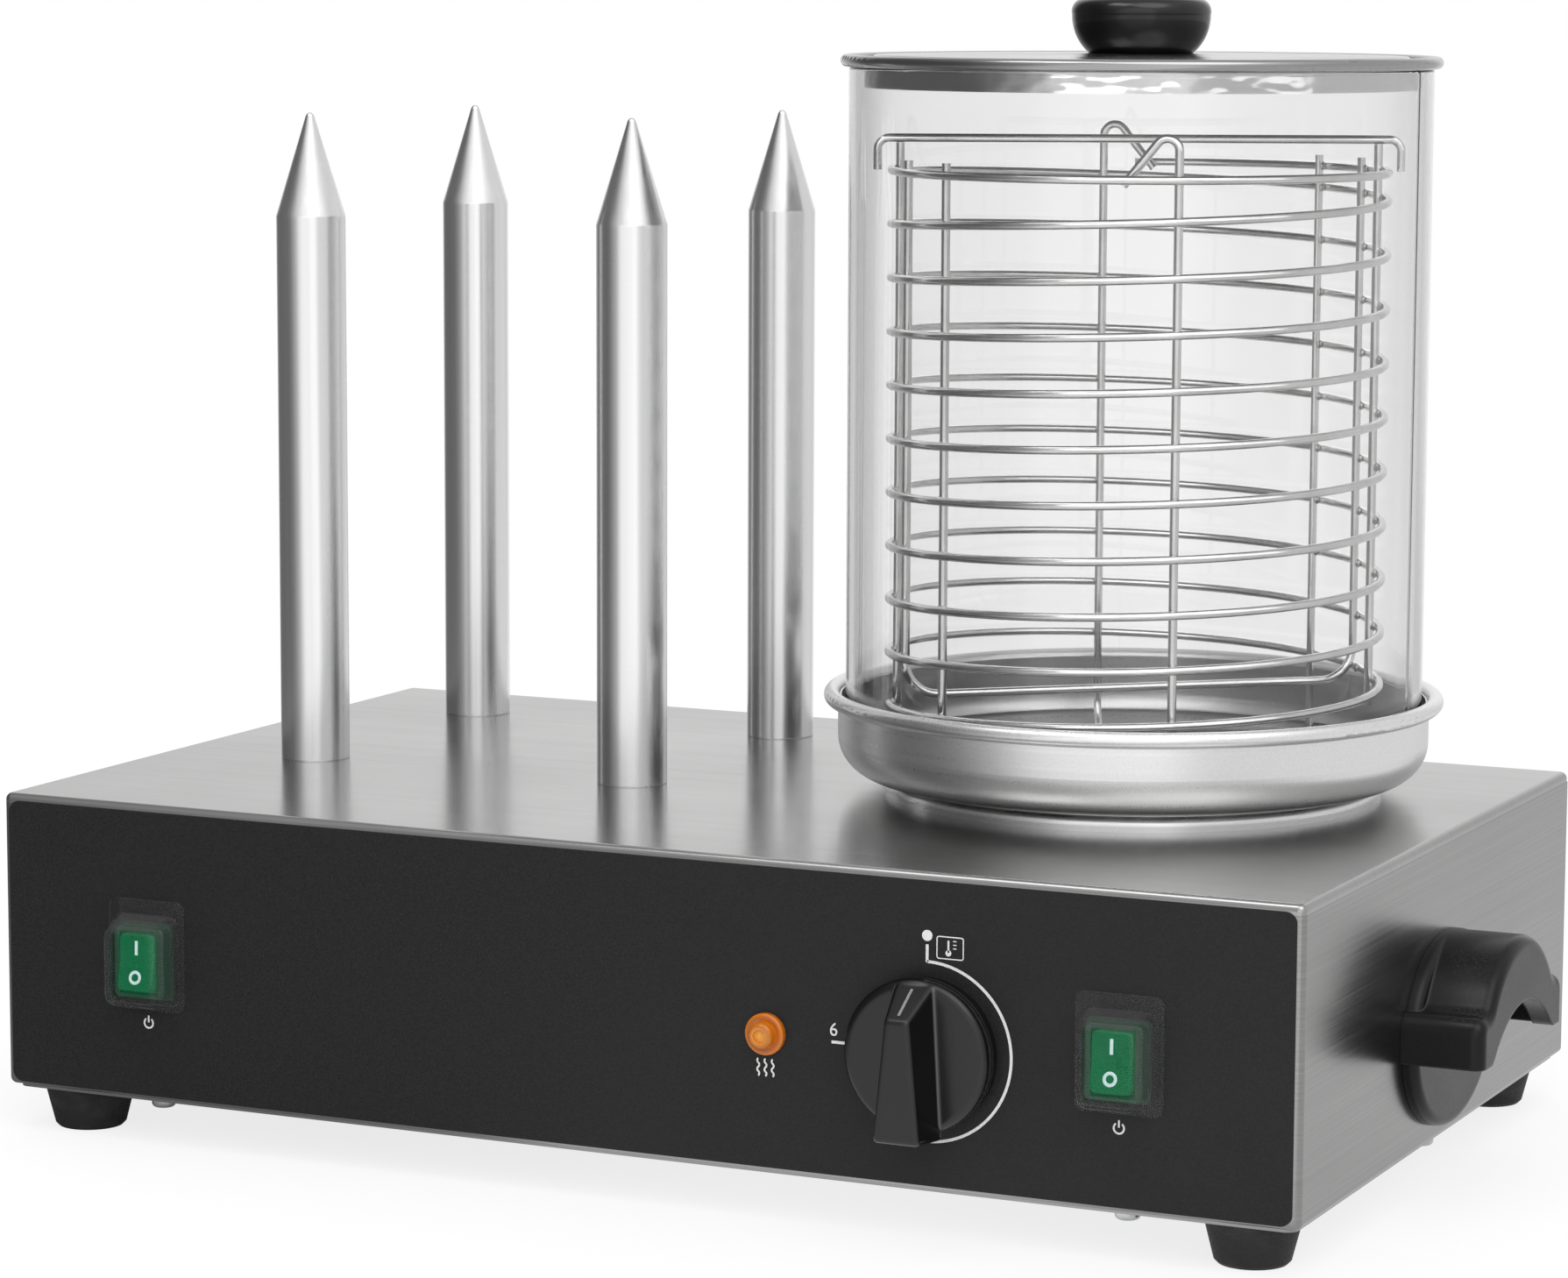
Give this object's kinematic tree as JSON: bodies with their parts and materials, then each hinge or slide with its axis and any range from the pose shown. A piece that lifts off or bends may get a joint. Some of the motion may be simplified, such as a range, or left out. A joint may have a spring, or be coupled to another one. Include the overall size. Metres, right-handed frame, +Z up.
{
  "type": "hot dog spike machine",
  "caption": "Countertop steel box with heated spikes for rolls and a lidded glass cylinder with a wire basket over a water dish; black front with dial, lamp and rocker switches.",
  "frame": {"origin": "on the resting surface, under the middle of the box", "axes": "+X to the right seen from the front, +Y to the back, +Z up"},
  "size_m": [0.536, 0.341, 0.3976],
  "materials": {
    "brushed_top": "brushed along the front, satin",
    "brushed_side": "brushed, satin",
    "brushed_back": "brushed, satin",
    "fascia_black": "fine grain, matte",
    "screw_steel": "bright zinc",
    "heater_steel": "dull sheath",
    "cast_aluminium": "turned, satin",
    "spun_aluminium": "satin, fine blasted",
    "clear_glass": "clear",
    "polished_steel": "polished",
    "knob_black": "smooth, half gloss",
    "bright_wire": "bright drawn wire",
    "amber_lens": "clear amber",
    "white_plastic": "plain",
    "thermostat_case": "moulded",
    "copper_tube": "drawn",
    "wire_insulation": "smooth",
    "gland_black": "moulded",
    "earth_brass": "turned",
    "foot_rubber": "matte",
    "spike_aluminium": "brushed lengthways",
    "handle_black": "satin moulding",
    "switch_black": "fine grain",
    "rocker_green": "clear green",
    "clear_silicone": "clear silicone, half matte"
  },
  "bodies": {
    "housing": {"back_panel": "brushed_back", "back_screws": "screw_steel", "body_wrap": "brushed_side", "bottom_plate": "brushed_side", "bottom_screws": "screw_steel", "cable_gland": "gland_black", "dial_ring": "knob_black", "dial_screws": "screw_steel", "dish": "spun_aluminium", "dish_nut": "screw_steel", "dish_stud": "screw_steel", "earth_stud": "earth_brass", "element_clamp": "brushed_side", "foot_back_left": "foot_rubber", "foot_back_right": "foot_rubber", "foot_front_left": "foot_rubber", "foot_front_right": "foot_rubber", "foot_nuts": "screw_steel", "foot_screws": "screw_steel", "front_fascia": "fascia_black", "gland_locknut": "gland_black", "handle_left": "handle_black", "handle_right": "handle_black", "handle_screws": "screw_steel", "hot_plate": "cast_aluminium", "lamp_body": "white_plastic", "lamp_lens": "amber_lens", "lamp_nut": "white_plastic", "plate_element": "heater_steel", "sensor_bulb": "copper_tube", "spike_back_left": "spike_aluminium", "spike_back_right": "spike_aluminium", "spike_front_left": "spike_aluminium", "spike_front_right": "spike_aluminium", "spike_heaters": "heater_steel", "spike_nuts": "screw_steel", "spike_washers": "screw_steel", "switch_boot_left": "clear_silicone", "switch_boot_right": "clear_silicone", "switch_housing_left": "switch_black", "switch_housing_right": "switch_black", "terminal_block": "white_plastic", "thermal_cutout": "thermostat_case", "thermostat_body": "thermostat_case", "top_sheet": "brushed_top", "wiring": "wire_insulation"},
    "glass": {"glass_cylinder": "clear_glass"},
    "lid": {"lid": "polished_steel", "lid_skirt": "polished_steel", "lid_knob": "knob_black", "lid_knob_screw": "screw_steel"},
    "basket": {"basket_coil": "bright_wire", "basket_hooked_frame": "bright_wire", "basket_cross_frame": "bright_wire", "basket_rods": "bright_wire", "basket_top_bar": "bright_wire"},
    "dial": {"thermostat_knob": "knob_black", "thermostat_shaft": "screw_steel"},
    "rocker_left": {"rocker_left": "rocker_green"},
    "rocker_right": {"rocker_right": "rocker_green"}
  },
  "joints": [
    {"name": "glass_lift", "type": "slide", "parent": "housing", "child": "glass", "axis": [0, 0, 1], "range_m": [0, 0.24]},
    {"name": "lid_lift", "type": "slide", "parent": "glass", "child": "lid", "axis": [0, 0, 1], "range_m": [0, 0.32]},
    {"name": "basket_lift", "type": "slide", "parent": "housing", "child": "basket", "axis": [0, 0, 1], "range_m": [0, 0.256]},
    {"name": "dial_turn", "type": "hinge", "parent": "housing", "child": "dial", "pos_m": [0.113, -0.15, 0.0617], "axis": [0, 1, 0], "range_deg": [0, 270]},
    {"name": "rocker_left_press", "type": "hinge", "parent": "housing", "child": "rocker_left", "pos_m": [-0.181, -0.1497, 0.0656], "axis": [1, 0, 0], "range_deg": [0, 14]},
    {"name": "rocker_right_press", "type": "hinge", "parent": "housing", "child": "rocker_right", "pos_m": [0.1795, -0.1497, 0.0656], "axis": [1, 0, 0], "range_deg": [0, 14]}
  ],
  "couplings": [
    {"joint": "basket_lift", "follows": "lid_lift", "ratio": 0.8}
  ]
}
